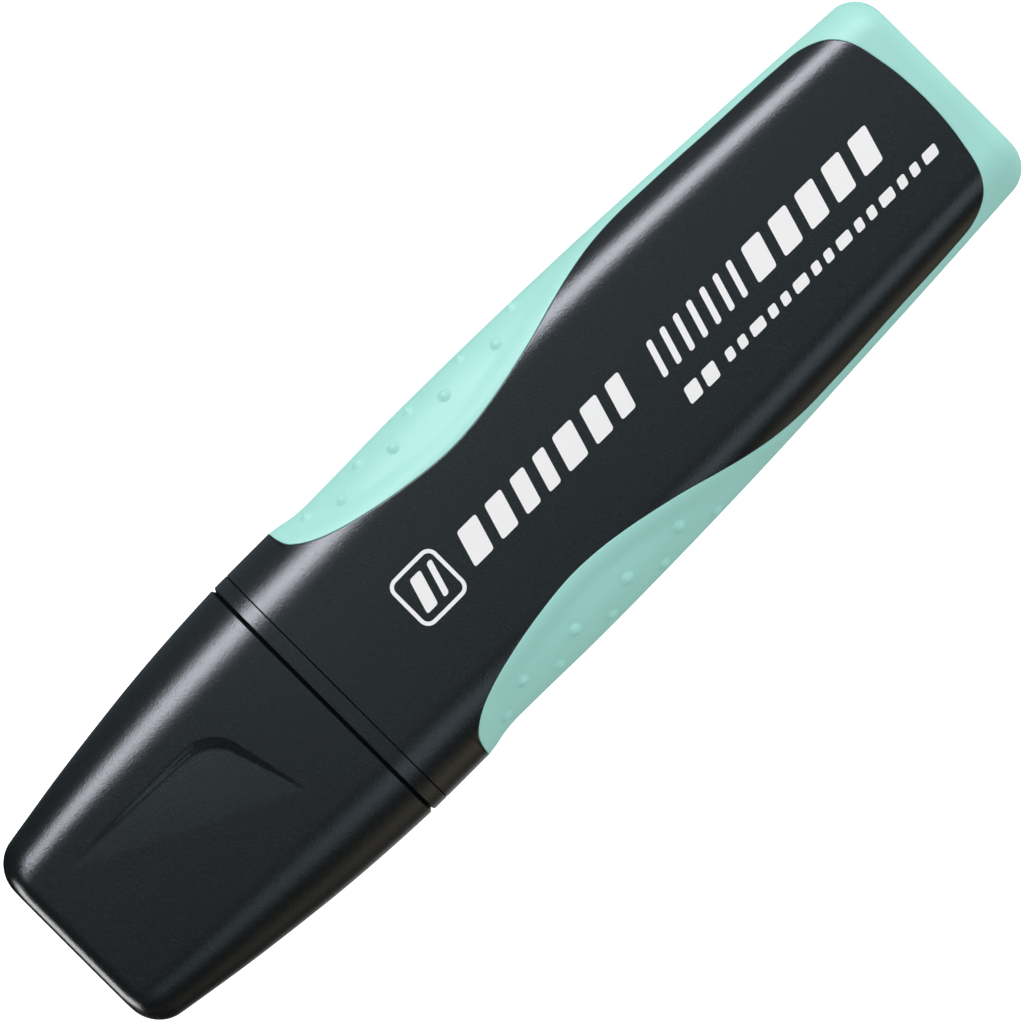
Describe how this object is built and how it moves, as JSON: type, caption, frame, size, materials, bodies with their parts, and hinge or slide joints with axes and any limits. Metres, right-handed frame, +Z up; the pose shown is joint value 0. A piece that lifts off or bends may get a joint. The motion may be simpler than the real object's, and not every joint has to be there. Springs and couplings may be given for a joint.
{
  "type": "highlighter",
  "caption": "Flat chisel-nib highlighter with a pull-off cap, a recessed grip frame with raised nubs, and a fibre ink reservoir inside.",
  "frame": {"origin": "on the back face that the pen lies on, under the middle of its length and width", "axes": "+X along the pen towards the nib, +Y across its width, +Z up out of the printed face"},
  "size_m": [0.107, 0.0272, 0.017],
  "materials": {
    "dark_plastic": "fine spark-eroded matt black",
    "mint_plastic": "smooth satin mint",
    "natural_plastic": "milky undyed plastic",
    "ink_fibre": "ink-soaked fibre",
    "clear_film": "thin glossy film"
  },
  "bodies": {
    "barrel": {"barrel": "dark_plastic", "grip_frame": "mint_plastic", "nib_holder": "dark_plastic", "chisel_nib": "ink_fibre", "reservoir_core": "ink_fibre", "reservoir_film": "clear_film"},
    "cap": {"cap_shell": "dark_plastic", "inner_cap": "natural_plastic"}
  },
  "joints": [
    {"name": "cap_pull", "type": "slide", "parent": "barrel", "child": "cap", "axis": [1, 0, 0], "range_m": [0, 0.04]}
  ]
}
